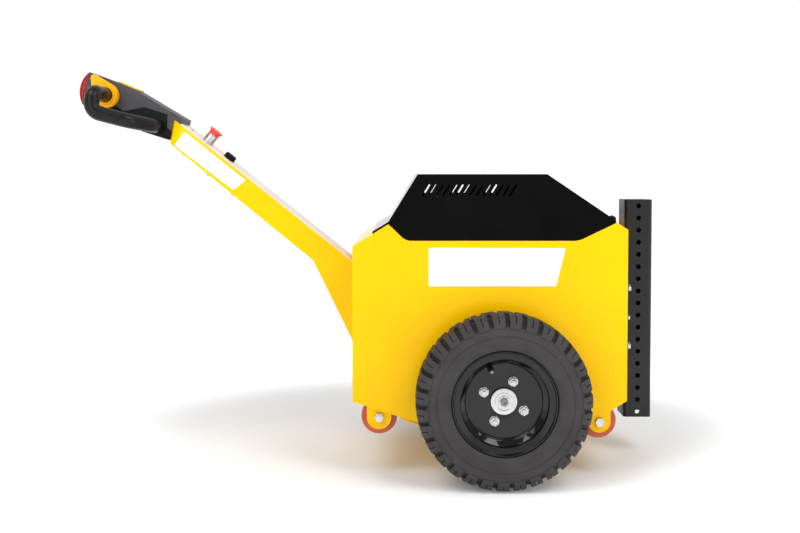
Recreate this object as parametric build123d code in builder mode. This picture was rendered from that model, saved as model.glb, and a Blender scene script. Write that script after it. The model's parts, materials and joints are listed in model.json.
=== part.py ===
from build123d import *
from math import atan2, cos, degrees, radians, sin
import os

os.makedirs("parts", exist_ok=True)

# Electric tow tractor that a walking operator steers by a fixed tiller. Millimetres.
# In the side profiles x runs forward from the axle and y runs up from the floor.
# The part's own origin is midway between the operator's two grips.

# body of folded and welded sheet
body_width = 400
sheet = 4
rear_edge = -348
rear_low = 177.5
rear_shoulder = 545.5
rear_peak_x = -263
rear_peak_height = 597.5
waist_height = 558.5
waist_rear_x = -222
waist_front_x = 186
waist_radius = 40
front_peak_x = 275
front_peak_height = 601.5
front_edge = 301
front_shoulder = 584.5
front_shoulder_radius = 14
front_low = 179.5
belly_height = 114.5
belly_rear_x = -154
belly_front_x = 199
tray_drop = 9

# black vented cover
cover_sheet = 3
cover_top = 715.5
cover_top_rear_x = -194
cover_top_front_x = 111
cover_tuck = 16
cover_end_gap = 8
lip_run = 44
lip_thickness = 5
slot_count = 14
slot_pitch = 15.7
slot_first_x = -173.5
slot_height_above_floor = 677.5
slot_rise = 27
slot_lean = 16.5
slot_width = 4.3

# drive wheels
tyre_radius = 200.5
tyre_width = 104
tyre_gap = 16
tyre_sidewall_radius = 152
tread_width = 92
tread_shoulder = 185
lug_root_radius = 172
lug_root_inset = 2
lug_height = 6
lug_count = 31
lug_share = 0.72
lug_overlap = 10
rim_flange_radius = 119
rim_seat_radius = 103
rim_well_radius = 92
rim_width = 76
rim_sheet = 3
rim_bend = 4
flange_curl = 4.5
bead_chamfer = 5
disc_thickness = 4
disc_offset = 12
hub_bore_radius = 30
hub_flange_radius = 66
hub_flange_thickness = 8
hub_nose = 5
stud_count = 4
stud_circle = 100
stud_angle = 65
stud_radius = 6
stud_length = 15
nut_across_flats = 19
nut_height = 10
centre_bolt_across_flats = 17
centre_bolt_height = 7
washer_radius = 13
washer_thickness = 2
shaft_radius = 15
shaft_reach = 110
running_clearance = 0.05
fit_gap = 0.15

# masses inside the body
axle_tube_radius = 32
axle_tube_end = 58
gearbox_length = 150
gearbox_width = 280
gearbox_height = 130
shelf_height = 296.5
shelf_length = 520
battery_length = 340
battery_width = 350
battery_height = 220

# guard rollers at the four low corners
roller_radius = 42.5
roller_width = 26
roller_side_gap = 5
roller_boss_radius = 12
roller_boss_gap = 0.5
ear_sheet = 5
front_roller_x = 236.5
front_roller_height = 130
front_ear_radius = 26
rear_roller_x = -285
rear_roller_height = 140
rear_ear_radius = 29
roller_top_gap = 8
pin_radius = 6
pin_play = 0.1
pin_head_height = 8
pin_head_across_flats = 19
pin_tail = 3

# hitch mast
mast_side = 70
mast_wall = 5
mast_corner = 8
mast_bottom = 94.5
mast_end_distance = 13.5
mast_hole_count = 18
mast_hole_pitch = 31
mast_hole_radius = 6.25
mast_stand_off = 36
mast_cap_height = 3
bracket_plate = 10
bracket_width = 150
bracket_height = 210
bracket_middle = 361.5
spacer_width = 80

# tiller arm
arm_width = 100
arm_top_foot = 487.5
gusset_drop = 211
arm_length = 588
arm_end_lean = 30
arm_angle = 38.7
arm_depth = 54
arm_kink_run = 498.5
arm_kink_depth = 59.5
arm_wall = 3
arm_taper_run = 24
arm_taper = 10
top_plate = 3
estop_from_end = 95
estop_collar_radius = 15
estop_collar_height = 23.5
estop_neck_radius = 14.5
estop_cone = 12
estop_radius = 20
estop_rim = 4
key_from_end = 164
key_radius = 15.5
key_height = 13.5

# tiller head, measured from the arm's end and from the axis of the grips
head_width = 92
head_reach = 166
head_rise = 58.5
head_lap = 24
brow_lap = 3.5
brow_height = 16
strip_low_share = 0.42
strip_low_rise = 14
strip_high_share = 0.115
strip_high_rise = 35
strip_width = 56
strip_thickness = 4
nose_behind = 42.5
nose_rise = 58.5
face_behind = 60
face_drop = 24
face_bulge = 2.5
split_front_share = 0.16
split_front_rise = 8
split_dip_share = 0.247
split_dip_drop = 39
split_crest_share = 0.56
split_crest_drop = 29
split_end_run = 10
split_end_rise = 42
split_heel_rise = 8
chin_share = 0.524
chin_drop = 91
jaw_share = 0.078
jaw_drop = 55
heel_share = 0.2
button_width = 74
button_edge = 6
button_depth = 19

# hand loops and thumb paddles
grip_radius = 18
grip_reach = 146
loop_bend_gap = 3
loop_heel_share = 0.03
loop_heel_drop = 47
loop_heel_flare = 4
loop_heel_bend = 25
loop_toe_share = 0.47
loop_toe_drop = 69
loop_toe_tuck = 10
loop_toe_bend = 50
loop_end_share = 0.74
loop_end_drop = 77
loop_end_stub = 34
loop_end_bend = 40
paddle_radius = 31
paddle_width = 20
horn_behind = 27
horn_rise = 43
horn_radius = 8

# the arm's end, then the axis of the grips that the whole part is placed from
along = Vector(cos(radians(arm_angle)), 0, -sin(radians(arm_angle)))
upright = Vector(sin(radians(arm_angle)), 0, cos(radians(arm_angle)))
arm_end_x = rear_edge - arm_length * along.X
arm_end_height = arm_top_foot - arm_length * along.Z
arm_heel_x = arm_end_x + arm_end_lean * along.X - arm_depth * upright.X
arm_heel_height = arm_end_height + arm_end_lean * along.Z - arm_depth * upright.Z
grip_behind_axle = head_reach - arm_end_x
grip_height = arm_end_height + head_rise
axle_height = tyre_radius

# planes shared by the pieces
half_body = body_width / 2
half_inside = half_body - sheet
side = Plane(origin=(grip_behind_axle, 0, -grip_height), x_dir=(1, 0, 0), z_dir=(0, -1, 0))
axle = Axis((grip_behind_axle, 0, axle_height - grip_height), (0, 1, 0))
hands = (("right", 1), ("left", -1))

# outer faces of the two end panels, from the bottom up
rear_path = [(rear_edge, rear_low), (rear_edge, rear_shoulder), (rear_peak_x, rear_peak_height)]
front_path = [(front_edge, front_low), (front_edge, front_shoulder), (front_peak_x, front_peak_height)]

# side plates, each with the front roller's outer ear
for hand, way in hands:
    with BuildPart() as side_plate:
        with BuildSketch(side.offset(way * half_inside)) as outline:
            with BuildLine():
                Polyline(
                    *rear_path,
                    (waist_rear_x, waist_height),
                    (waist_front_x, waist_height),
                    *reversed(front_path),
                    (belly_front_x, belly_height),
                    (belly_rear_x, belly_height),
                    close=True,
                )
            make_face()
            fillet([v for v in outline.vertices() if abs(v.Z - waist_height + grip_height) < 1], waist_radius)
            fillet(
                [v for v in outline.vertices() if abs(v.Z - front_shoulder + grip_height) < 1],
                front_shoulder_radius,
            )
            with Locations((front_roller_x, front_roller_height)):
                Circle(front_ear_radius)
                Rectangle(2 * front_ear_radius, front_ear_radius * 1.5, align=(Align.CENTER, Align.MIN))
                Circle(pin_radius + pin_play, mode=Mode.SUBTRACT)
            with Locations((0, axle_height)):
                Circle(axle_tube_radius + fit_gap, mode=Mode.SUBTRACT)
        extrude(amount=way * sheet)
    side_plate.part.label = f"side_plate_{hand}"
    export_step(side_plate.part, f"parts/side_plate_{hand}.step")

# rear panel, folded forward over the shoulder
with BuildPart() as rear_panel:
    with BuildSketch(side):
        with BuildLine():
            Polyline(*rear_path)
            offset(amount=sheet, side=Side.RIGHT)
        make_face()
    extrude(amount=half_inside, both=True)
rear_panel.part.label = "rear_panel"
export_step(rear_panel.part, "parts/rear_panel.step")

# front panel, folded back over the shoulder
with BuildPart() as front_panel:
    with BuildSketch(side):
        with BuildLine():
            FilletPolyline(*front_path, radius=front_shoulder_radius)
            offset(amount=sheet, side=Side.LEFT)
        make_face()
    extrude(amount=half_inside, both=True)
front_panel.part.label = "front_panel"
export_step(front_panel.part, "parts/front_panel.step")

# floor tray between the plates, notched at the corners for the rollers
ear_depth = 2 * ear_sheet + 2 * roller_side_gap + roller_width
ear_inside = half_inside - ear_depth
notch = roller_radius + roller_top_gap
notch_depth = ear_depth + pin_head_height + pin_tail + roller_top_gap
tray_bottom = belly_height - tray_drop
with BuildPart() as floor_tray:
    with BuildSketch(side):
        with BuildLine():
            Polyline(
                (rear_edge + sheet, rear_low),
                (belly_rear_x, tray_bottom),
                (belly_front_x, tray_bottom),
                (front_edge - sheet, front_low),
            )
            offset(amount=sheet, side=Side.LEFT)
        make_face()
    extrude(amount=half_inside, both=True)
    for hand, way in hands:
        with BuildSketch(side.offset(way * (half_inside - notch_depth))):
            with Locations((front_roller_x, front_roller_height), (rear_roller_x, rear_roller_height)):
                Rectangle(2 * notch, 4 * notch)
        extrude(amount=way * notch_depth, mode=Mode.SUBTRACT)
floor_tray.part.label = "floor_tray"
export_step(floor_tray.part, "parts/floor_tray.step")

# black cover: an open-bottomed folded shell with leaning vent slots in both cheeks
lip_angle = atan2(rear_peak_height - rear_shoulder, rear_peak_x - rear_edge)
front_rise = cover_top - front_peak_height
front_slope = atan2(front_rise, front_peak_x - cover_top_front_x)
rear_foot_height = rear_peak_height + lip_thickness / cos(lip_angle)
front_foot_height = front_peak_height + cover_sheet / cos(front_slope)
cover_low = waist_height - cover_tuck
with BuildPart() as top_cover:
    with BuildSketch(side):
        with BuildLine():
            Polyline(
                (rear_peak_x, rear_foot_height),
                (cover_top_rear_x, cover_top),
                (cover_top_front_x, cover_top),
                (front_peak_x, front_foot_height),
                (front_peak_x - cover_end_gap, front_peak_height - cover_end_gap),
                (waist_front_x, cover_low),
                (waist_rear_x, cover_low),
                (rear_peak_x + cover_end_gap, rear_peak_height - cover_end_gap / 2),
                close=True,
            )
        make_face()
    extrude(amount=half_inside, both=True)
    with BuildSketch(side):
        with BuildLine():
            Polyline(
                (rear_peak_x, rear_foot_height),
                (cover_top_rear_x, cover_top),
                (cover_top_front_x, cover_top),
                (front_peak_x, front_foot_height),
                (front_peak_x, cover_low - sheet),
                (rear_peak_x, cover_low - sheet),
                close=True,
            )
        make_face()
        offset(amount=-cover_sheet, mode=Mode.REPLACE)
        with Locations(((rear_peak_x + front_peak_x) / 2, cover_low)):
            Rectangle(front_peak_x - rear_peak_x - 2 * cover_sheet, 2 * cover_tuck)
    extrude(amount=half_inside - cover_sheet, both=True, mode=Mode.SUBTRACT)
    with BuildSketch(side):
        with BuildLine():
            Polyline(
                (rear_peak_x, rear_peak_height),
                (rear_peak_x + 2 * cover_sheet, rear_peak_height),
                (rear_peak_x + 2 * cover_sheet, rear_foot_height),
                (rear_peak_x, rear_foot_height),
                (rear_peak_x - lip_run * cos(lip_angle), rear_foot_height - lip_run * sin(lip_angle)),
                (rear_peak_x - lip_run * cos(lip_angle), rear_peak_height - lip_run * sin(lip_angle)),
                close=True,
            )
        make_face()
    extrude(amount=half_inside, both=True)
    with BuildSketch(side):
        slot_middle = slot_first_x + slot_pitch * (slot_count - 1) / 2
        with Locations((slot_middle, slot_height_above_floor)):
            with GridLocations(slot_pitch, 1, slot_count, 1):
                SlotOverall(
                    (slot_rise**2 + slot_lean**2) ** 0.5,
                    slot_width,
                    rotation=degrees(atan2(slot_rise, slot_lean)),
                )
    extrude(amount=body_width, both=True, mode=Mode.SUBTRACT)
top_cover.part.label = "top_cover"
export_step(top_cover.part, "parts/top_cover.step")

# drive unit as one plain mass with the axle tubes that carry the hubs
tube_end = half_body + axle_tube_end
tyre_middle = half_body + tyre_gap + tyre_width / 2
disc_outer = tyre_middle + disc_offset
disc_inner = disc_outer - disc_thickness
flange_inner = disc_inner - hub_flange_thickness
shaft_end = flange_inner - shaft_reach
with BuildPart() as drive_unit:
    with BuildSketch(side):
        with Locations((0, axle_height)):
            Rectangle(gearbox_length, gearbox_height)
    extrude(amount=gearbox_width / 2, both=True)
    with BuildSketch(side):
        with Locations((0, axle_height)):
            Circle(axle_tube_radius)
    extrude(amount=tube_end, both=True)
    for hand, way in hands:
        with BuildSketch(side.offset(way * (shaft_end - 1))):
            with Locations((0, axle_height)):
                Circle(shaft_radius + running_clearance)
        extrude(amount=way * body_width, mode=Mode.SUBTRACT)
drive_unit.part.label = "drive_unit"
export_step(drive_unit.part, "parts/drive_unit.step")

# battery shelf and the battery pack as one plain block
with BuildPart() as battery_shelf:
    with BuildSketch(side):
        with Locations((0, shelf_height)):
            Rectangle(shelf_length, sheet, align=(Align.CENTER, Align.MAX))
    extrude(amount=half_inside, both=True)
battery_shelf.part.label = "battery_shelf"
export_step(battery_shelf.part, "parts/battery_shelf.step")

with BuildPart() as battery_pack:
    with BuildSketch(side):
        with Locations((0, shelf_height)):
            Rectangle(battery_length, battery_height, align=(Align.CENTER, Align.MIN))
    extrude(amount=battery_width / 2, both=True)
battery_pack.part.label = "battery_pack"
export_step(battery_pack.part, "parts/battery_pack.step")

# drive wheels: pneumatic tyre, dished steel rim, hub with its studs, nuts and drive shaft
half_rim = rim_width / 2
bead_top = rim_flange_radius + 2
for hand, way in hands:
    wheel = Plane(axle.position, x_dir=(0, -way, 0), z_dir=(-way, 0, 0))
    half_tread = tread_width / 2
    half_tyre = tyre_width / 2
    bead = half_rim - 2 * rim_sheet
    carcass_radius = tyre_radius - lug_height
    with BuildPart() as tyre:
        with BuildSketch(wheel):
            with BuildLine():
                for end in (1, -1):
                    Polyline(
                        (tyre_middle + end * (bead - bead_chamfer), rim_seat_radius + fit_gap),
                        (tyre_middle + end * bead, rim_seat_radius + fit_gap + bead_chamfer),
                        (tyre_middle + end * bead, bead_top),
                        (tyre_middle + end * (half_rim + 2 * rim_sheet), bead_top),
                    )
                    ThreePointArc(
                        (tyre_middle + end * (half_rim + 2 * rim_sheet), bead_top),
                        (tyre_middle + end * half_tyre, tyre_sidewall_radius),
                        (tyre_middle + end * (half_tyre - lug_root_inset), lug_root_radius - lug_root_inset),
                    )
                    Polyline(
                        (tyre_middle + end * (half_tyre - lug_root_inset), lug_root_radius - lug_root_inset),
                        (tyre_middle + end * (half_tread - lug_height / 2), tread_shoulder),
                        (tyre_middle + end * half_tread / 2, carcass_radius),
                    )
                Line(
                    (tyre_middle - half_tread / 2, carcass_radius),
                    (tyre_middle + half_tread / 2, carcass_radius),
                )
                Line(
                    (tyre_middle - bead + bead_chamfer, rim_seat_radius + fit_gap),
                    (tyre_middle + bead - bead_chamfer, rim_seat_radius + fit_gap),
                )
            make_face()
        revolve(axis=axle)
        lug_pitch = 360 / lug_count
        for end in (1, -1):
            turns = [radians(lug_pitch * (step + end / 4)) for step in range(lug_count)]
            lug_planes = [
                Plane(axle.position, x_dir=(0, -way, 0), z_dir=(-way * cos(turn), 0, way * sin(turn)))
                for turn in turns
            ]
            with BuildSketch(*lug_planes):
                with BuildLine():
                    Polyline(
                        (tyre_middle + end * (half_tyre - lug_height), lug_root_radius),
                        (tyre_middle + end * half_tyre, lug_root_radius),
                        (tyre_middle + end * half_tyre, tread_shoulder),
                        (tyre_middle + end * half_tread * 0.8, tyre_radius - lug_height / 4),
                        (tyre_middle - end * lug_overlap, tyre_radius),
                        (tyre_middle - end * lug_overlap, carcass_radius - lug_height / 2),
                        (tyre_middle + end * half_tread / 2, carcass_radius - lug_height / 2),
                        close=True,
                    )
                make_face()
            revolve(axis=axle, revolution_arc=lug_pitch * lug_share)
    tyre.part.label = f"tyre_{hand}"
    export_step(tyre.part, f"parts/tyre_{hand}.step")

    with BuildPart() as rim:
        with BuildSketch(wheel):
            with BuildLine():
                FilletPolyline(
                    (tyre_middle + half_rim + rim_sheet, rim_flange_radius),
                    (tyre_middle + half_rim - flange_curl, rim_flange_radius - rim_sheet / 2),
                    (tyre_middle + half_rim - 2 * rim_sheet, rim_seat_radius),
                    (tyre_middle + half_rim / 2 + rim_sheet, rim_seat_radius),
                    (disc_outer + rim_sheet, rim_well_radius),
                    (tyre_middle - half_rim / 2 + rim_sheet, rim_well_radius),
                    (tyre_middle - half_rim / 2 - rim_sheet, rim_seat_radius),
                    (tyre_middle - half_rim + 2 * rim_sheet, rim_seat_radius),
                    (tyre_middle - half_rim + flange_curl, rim_flange_radius - rim_sheet / 2),
                    (tyre_middle - half_rim - rim_sheet, rim_flange_radius),
                    radius=rim_bend,
                )
                offset(amount=rim_sheet, side=Side.LEFT)
            make_face()
            with Locations((disc_inner, hub_bore_radius + fit_gap)):
                Rectangle(
                    disc_thickness,
                    rim_well_radius - rim_sheet / 2 - hub_bore_radius - fit_gap,
                    align=(Align.MIN, Align.MIN),
                )
        revolve(axis=axle)
        with BuildSketch(side.offset(way * tyre_middle)):
            with Locations((0, axle_height)):
                with PolarLocations(stud_circle / 2, stud_count, start_angle=stud_angle):
                    Circle(stud_radius + fit_gap)
        extrude(amount=tyre_width, both=True, mode=Mode.SUBTRACT)
    rim.part.label = f"rim_{hand}"
    export_step(rim.part, f"parts/rim_{hand}.step")

    with BuildPart() as hub:
        with BuildSketch(wheel):
            with BuildLine():
                Polyline(
                    (shaft_end, 0),
                    (shaft_end, shaft_radius),
                    (flange_inner, shaft_radius),
                    (flange_inner, hub_flange_radius),
                    (disc_inner, hub_flange_radius),
                    (disc_inner, hub_bore_radius),
                    (disc_outer + hub_nose, hub_bore_radius),
                    (disc_outer + hub_nose, washer_radius),
                    (disc_outer + hub_nose + washer_thickness, washer_radius),
                    (disc_outer + hub_nose + washer_thickness, 0),
                    close=True,
                )
            make_face()
        revolve(axis=axle)
        with BuildSketch(side.offset(way * (disc_outer + hub_nose + washer_thickness))):
            with Locations((0, axle_height)):
                RegularPolygon(centre_bolt_across_flats / 2, 6, major_radius=False)
        extrude(amount=way * centre_bolt_height)
        with BuildSketch(side.offset(way * disc_inner)):
            with Locations((0, axle_height)):
                with PolarLocations(stud_circle / 2, stud_count, start_angle=stud_angle):
                    Circle(stud_radius)
        extrude(amount=way * (disc_thickness + stud_length))
        with BuildSketch(side.offset(way * disc_outer)):
            with Locations((0, axle_height)):
                with PolarLocations(stud_circle / 2, stud_count, start_angle=stud_angle):
                    RegularPolygon(nut_across_flats / 2, 6, major_radius=False)
        extrude(amount=way * nut_height)
    hub.part.label = f"hub_{hand}"
    export_step(hub.part, f"parts/hub_{hand}.step")

# guard rollers, their forks and pins; the front forks use the side plate as the outer ear
roller_spots = (
    ("front", front_roller_x, front_roller_height, front_ear_radius),
    ("rear", rear_roller_x, rear_roller_height, rear_ear_radius),
)
inner_face = half_inside - ear_sheet
roller_middle = inner_face - roller_side_gap - roller_width / 2
fork_floor = roller_radius + roller_top_gap
for end, spot_x, spot_height, ear_radius in roller_spots:
    for hand, way in hands:
        with BuildPart() as fork:
            with BuildSketch(side.offset(way * ear_inside)):
                with Locations((spot_x, spot_height)):
                    Circle(ear_radius)
                    Rectangle(2 * ear_radius, fork_floor + ear_sheet, align=(Align.CENTER, Align.MIN))
                    Circle(pin_radius + pin_play, mode=Mode.SUBTRACT)
            extrude(amount=way * ear_depth)
            outer_ear = inner_face if end == "rear" else half_inside
            with BuildSketch(side.offset(way * (ear_inside + ear_sheet))):
                with Locations((spot_x, spot_height + fork_floor)):
                    Rectangle(3 * ear_radius, 3 * fork_floor, align=(Align.CENTER, Align.MAX))
            extrude(amount=way * (outer_ear - ear_inside - ear_sheet), mode=Mode.SUBTRACT)
        fork.part.label = f"{end}_roller_fork_{hand}"
        export_step(fork.part, f"parts/{end}_roller_fork_{hand}.step")

        with BuildPart() as roller:
            with BuildSketch(side.offset(way * roller_middle)):
                with Locations((spot_x, spot_height)):
                    Circle(roller_radius)
            extrude(amount=roller_width / 2, both=True)
            fillet(roller.edges(), roller_width / 10)
            with BuildSketch(side.offset(way * roller_middle)):
                with Locations((spot_x, spot_height)):
                    Circle(roller_boss_radius)
            extrude(amount=roller_width / 2 + roller_side_gap - roller_boss_gap, both=True)
            with BuildSketch(side.offset(way * roller_middle)):
                with Locations((spot_x, spot_height)):
                    Circle(pin_radius + running_clearance)
            extrude(amount=roller_width, both=True, mode=Mode.SUBTRACT)
        roller.part.label = f"{end}_roller_{hand}"
        export_step(roller.part, f"parts/{end}_roller_{hand}.step")

        pin_face = half_inside if end == "rear" else half_body
        with BuildPart() as pin:
            with BuildSketch(side.offset(way * (ear_inside - pin_head_height))):
                with Locations((spot_x, spot_height)):
                    Circle(pin_radius)
            extrude(amount=way * (pin_face - ear_inside + 2 * pin_head_height))
            for start in (ear_inside - pin_head_height, pin_face):
                with BuildSketch(side.offset(way * start)):
                    with Locations((spot_x, spot_height)):
                        RegularPolygon(pin_head_across_flats / 2, 6, major_radius=False)
                extrude(amount=way * pin_head_height)
            tail_face = pin_face + pin_head_height if end == "rear" else ear_inside - pin_head_height
            tail_way = way if end == "rear" else -way
            with BuildSketch(side.offset(way * tail_face)):
                with Locations((spot_x, spot_height)):
                    Circle(pin_radius)
            extrude(amount=tail_way * pin_tail)
        pin.part.label = f"{end}_roller_pin_{hand}"
        export_step(pin.part, f"parts/{end}_roller_pin_{hand}.step")

# hitch mast: a square tube drilled through both cheeks, on a bolted stand-off bracket
mast_rear = front_edge + mast_stand_off
mast_middle = mast_rear + mast_side / 2
mast_length = mast_hole_pitch * (mast_hole_count - 1) + 2 * mast_end_distance
floor_plane = Plane.XY.offset(mast_bottom - grip_height)
with BuildPart() as mast_post:
    with BuildSketch(floor_plane):
        with Locations((grip_behind_axle + mast_middle, 0)):
            RectangleRounded(mast_side, mast_side, mast_corner)
            RectangleRounded(
                mast_side - 2 * mast_wall,
                mast_side - 2 * mast_wall,
                mast_corner - mast_wall,
                mode=Mode.SUBTRACT,
            )
    extrude(amount=mast_length)
    with BuildSketch(side):
        with Locations((mast_middle, mast_bottom + mast_length / 2)):
            with GridLocations(1, mast_hole_pitch, 1, mast_hole_count):
                Circle(mast_hole_radius)
    extrude(amount=mast_side, both=True, mode=Mode.SUBTRACT)
mast_post.part.label = "mast_post"
export_step(mast_post.part, "parts/mast_post.step")

with BuildPart() as mast_cap:
    with BuildSketch(floor_plane.offset(mast_length)):
        with Locations((grip_behind_axle + mast_middle, 0)):
            RectangleRounded(mast_side, mast_side, mast_corner)
    extrude(amount=mast_cap_height)
    fillet(mast_cap.faces().sort_by(Axis.Z)[-1].edges(), mast_cap_height * 0.7)
mast_cap.part.label = "mast_cap"
export_step(mast_cap.part, "parts/mast_cap.step")

with BuildPart() as mast_bracket:
    with BuildSketch(side):
        with Locations((mast_rear, bracket_middle)):
            Rectangle(bracket_plate, bracket_height, align=(Align.MAX, Align.CENTER))
    extrude(amount=bracket_width / 2, both=True)
    with BuildSketch(side):
        with Locations((front_edge, bracket_middle)):
            Rectangle(mast_stand_off, bracket_height - 4 * bracket_plate, align=(Align.MIN, Align.CENTER))
    extrude(amount=spacer_width / 2, both=True)
mast_bracket.part.label = "mast_bracket"
export_step(mast_bracket.part, "parts/mast_bracket.step")

# tiller arm: a folded box with a gusset, open where it stands on the rear panel
arm_kink_x = arm_end_x + arm_kink_run * along.X - arm_kink_depth * upright.X
arm_kink_height = arm_end_height + arm_kink_run * along.Z - arm_kink_depth * upright.Z
arm_top = Plane(
    origin=(grip_behind_axle + arm_end_x, 0, arm_end_height - grip_height),
    x_dir=along,
    z_dir=upright,
)
half_arm = arm_width / 2
with BuildPart() as tiller_arm:
    with BuildSketch(side):
        with BuildLine():
            Polyline(
                (rear_edge, arm_top_foot),
                (arm_end_x, arm_end_height),
                (arm_heel_x, arm_heel_height),
                (arm_kink_x, arm_kink_height),
                (rear_edge, arm_top_foot - gusset_drop),
                close=True,
            )
        make_face()
    extrude(amount=half_arm, both=True)
    with BuildSketch(arm_top):
        for end in (1, -1):
            with BuildLine():
                Polyline(
                    (0, end * (half_arm - arm_taper)),
                    (arm_taper_run, end * half_arm),
                    (0, end * half_arm),
                    close=True,
                )
            make_face()
    end_slope = Vector(arm_heel_x - arm_end_x, 0, arm_heel_height - arm_end_height)
    extrude(amount=2 * arm_depth, dir=end_slope, both=True, mode=Mode.SUBTRACT)
    offset(amount=-arm_wall, openings=tiller_arm.faces().sort_by(Axis.X)[-1])
tiller_arm.part.label = "tiller_arm"
export_step(tiller_arm.part, "parts/tiller_arm.step")

with BuildPart() as arm_top_plate:
    with BuildSketch(arm_top):
        with Locations((head_lap, 0)):
            Rectangle(arm_length - head_lap - 2 * top_plate, arm_width, align=(Align.MIN, Align.CENTER))
    extrude(amount=top_plate)
arm_top_plate.part.label = "arm_top_plate"
export_step(arm_top_plate.part, "parts/arm_top_plate.step")

with BuildPart() as estop_collar:
    with BuildSketch(arm_top.offset(top_plate)):
        with Locations((estop_from_end, 0)):
            Circle(estop_collar_radius)
    extrude(amount=estop_collar_height)
estop_collar.part.label = "estop_collar"
export_step(estop_collar.part, "parts/estop_collar.step")

with BuildPart() as estop_button:
    with Locations(arm_top.offset(top_plate + estop_collar_height) * Location((estop_from_end, 0, 0))):
        Cone(estop_neck_radius, estop_radius, estop_cone, align=(Align.CENTER, Align.CENTER, Align.MIN))
    with BuildSketch(arm_top.offset(top_plate + estop_collar_height + estop_cone)):
        with Locations((estop_from_end, 0)):
            Circle(estop_radius)
    extrude(amount=estop_rim)
    fillet(estop_button.faces().sort_by(Axis(arm_top.origin, upright))[-1].edges(), estop_rim * 0.6)
estop_button.part.label = "estop_button"
export_step(estop_button.part, "parts/estop_button.step")

with BuildPart() as key_switch:
    with BuildSketch(arm_top.offset(top_plate)):
        with Locations((key_from_end, 0)):
            Circle(key_radius)
    extrude(amount=key_height)
    chamfer(key_switch.faces().sort_by(Axis(arm_top.origin, upright))[-1].edges(), key_height / 5)
key_switch.part.label = "key_switch"
export_step(key_switch.part, "parts/key_switch.step")

# tiller head: two moulded half shells, closed in front by the red belly button
grip_x = -grip_behind_axle
arm_middle_x = (arm_end_x + arm_heel_x) / 2
arm_middle_height = (arm_end_height + arm_heel_height) / 2
strip_low = (grip_x + strip_low_share * head_reach, grip_height + strip_low_rise)
strip_high = (grip_x + strip_high_share * head_reach, grip_height + strip_high_rise)
nose = Vector(grip_x - nose_behind, grip_height + nose_rise)
face_low = Vector(grip_x - face_behind, grip_height - face_drop)
face_out = Vector(face_low.Y - nose.Y, nose.X - face_low.X).normalized()
face_mid = (nose + face_low) / 2 + face_out * face_bulge
face_arc = Edge.make_three_point_arc(nose, face_mid, face_low)
lap_x = arm_end_x + head_lap * along.X
lap_height = arm_end_height + head_lap * along.Z
head_top = [
    (arm_end_x, arm_end_height),
    (lap_x, lap_height),
    (lap_x + brow_lap, lap_height + brow_height),
    strip_low,
    strip_high,
    nose,
]
head_split = [
    face_mid,
    (grip_x - split_front_share * head_reach, grip_height + split_front_rise),
    (grip_x + split_dip_share * head_reach, grip_height - split_dip_drop),
    (grip_x + split_crest_share * head_reach, grip_height - split_crest_drop),
    (arm_middle_x - split_end_run, arm_middle_height + split_end_rise),
    (arm_middle_x - split_end_run, arm_middle_height + split_heel_rise),
    (arm_middle_x, arm_middle_height),
]
head_low = [
    (
        arm_heel_x + heel_share * (arm_middle_x - arm_heel_x),
        arm_heel_height + heel_share * (arm_middle_height - arm_heel_height),
    ),
    (grip_x + chin_share * head_reach, grip_height - chin_drop),
    (grip_x + jaw_share * head_reach, grip_height - jaw_drop),
    face_low,
]
half_head = head_width / 2
shells = (
    ("upper", head_split + head_top, face_arc @ 0.25),
    ("lower", head_split + head_low, face_arc @ 0.75),
)
for shell_name, shell_points, front_point in shells:
    with BuildPart() as shell:
        with BuildSketch(side):
            with BuildLine():
                Polyline(*shell_points)
                ThreePointArc(shell_points[-1], front_point, face_mid)
            make_face()
        extrude(amount=half_head, both=True)
    shell.part.label = f"head_{shell_name}_shell"
    export_step(shell.part, f"parts/head_{shell_name}_shell.step")

with BuildPart() as belly_button:
    with BuildSketch(side):
        with BuildLine():
            ThreePointArc(nose, face_mid, face_low)
            Line(face_low, face_low + face_out * button_edge)
            ThreePointArc(
                face_low + face_out * button_edge,
                face_mid + face_out * button_depth,
                nose + face_out * button_edge,
            )
            Line(nose + face_out * button_edge, nose)
        make_face()
    extrude(amount=button_width / 2, both=True)
belly_button.part.label = "belly_button"
export_step(belly_button.part, "parts/belly_button.step")

strip_start = Vector(grip_behind_axle + strip_high[0], 0, strip_high[1] - grip_height)
strip_run = Vector(grip_behind_axle + strip_low[0], 0, strip_low[1] - grip_height) - strip_start
strip_plane = Plane(origin=strip_start, x_dir=strip_run, z_dir=strip_run.cross(Vector(0, 1, 0)))
with BuildPart() as head_strip:
    with BuildSketch(strip_plane):
        Rectangle(strip_run.length, strip_width, align=(Align.MIN, Align.CENTER))
    extrude(amount=strip_thickness)
head_strip.part.label = "head_strip"
export_step(head_strip.part, "parts/head_strip.step")

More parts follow.
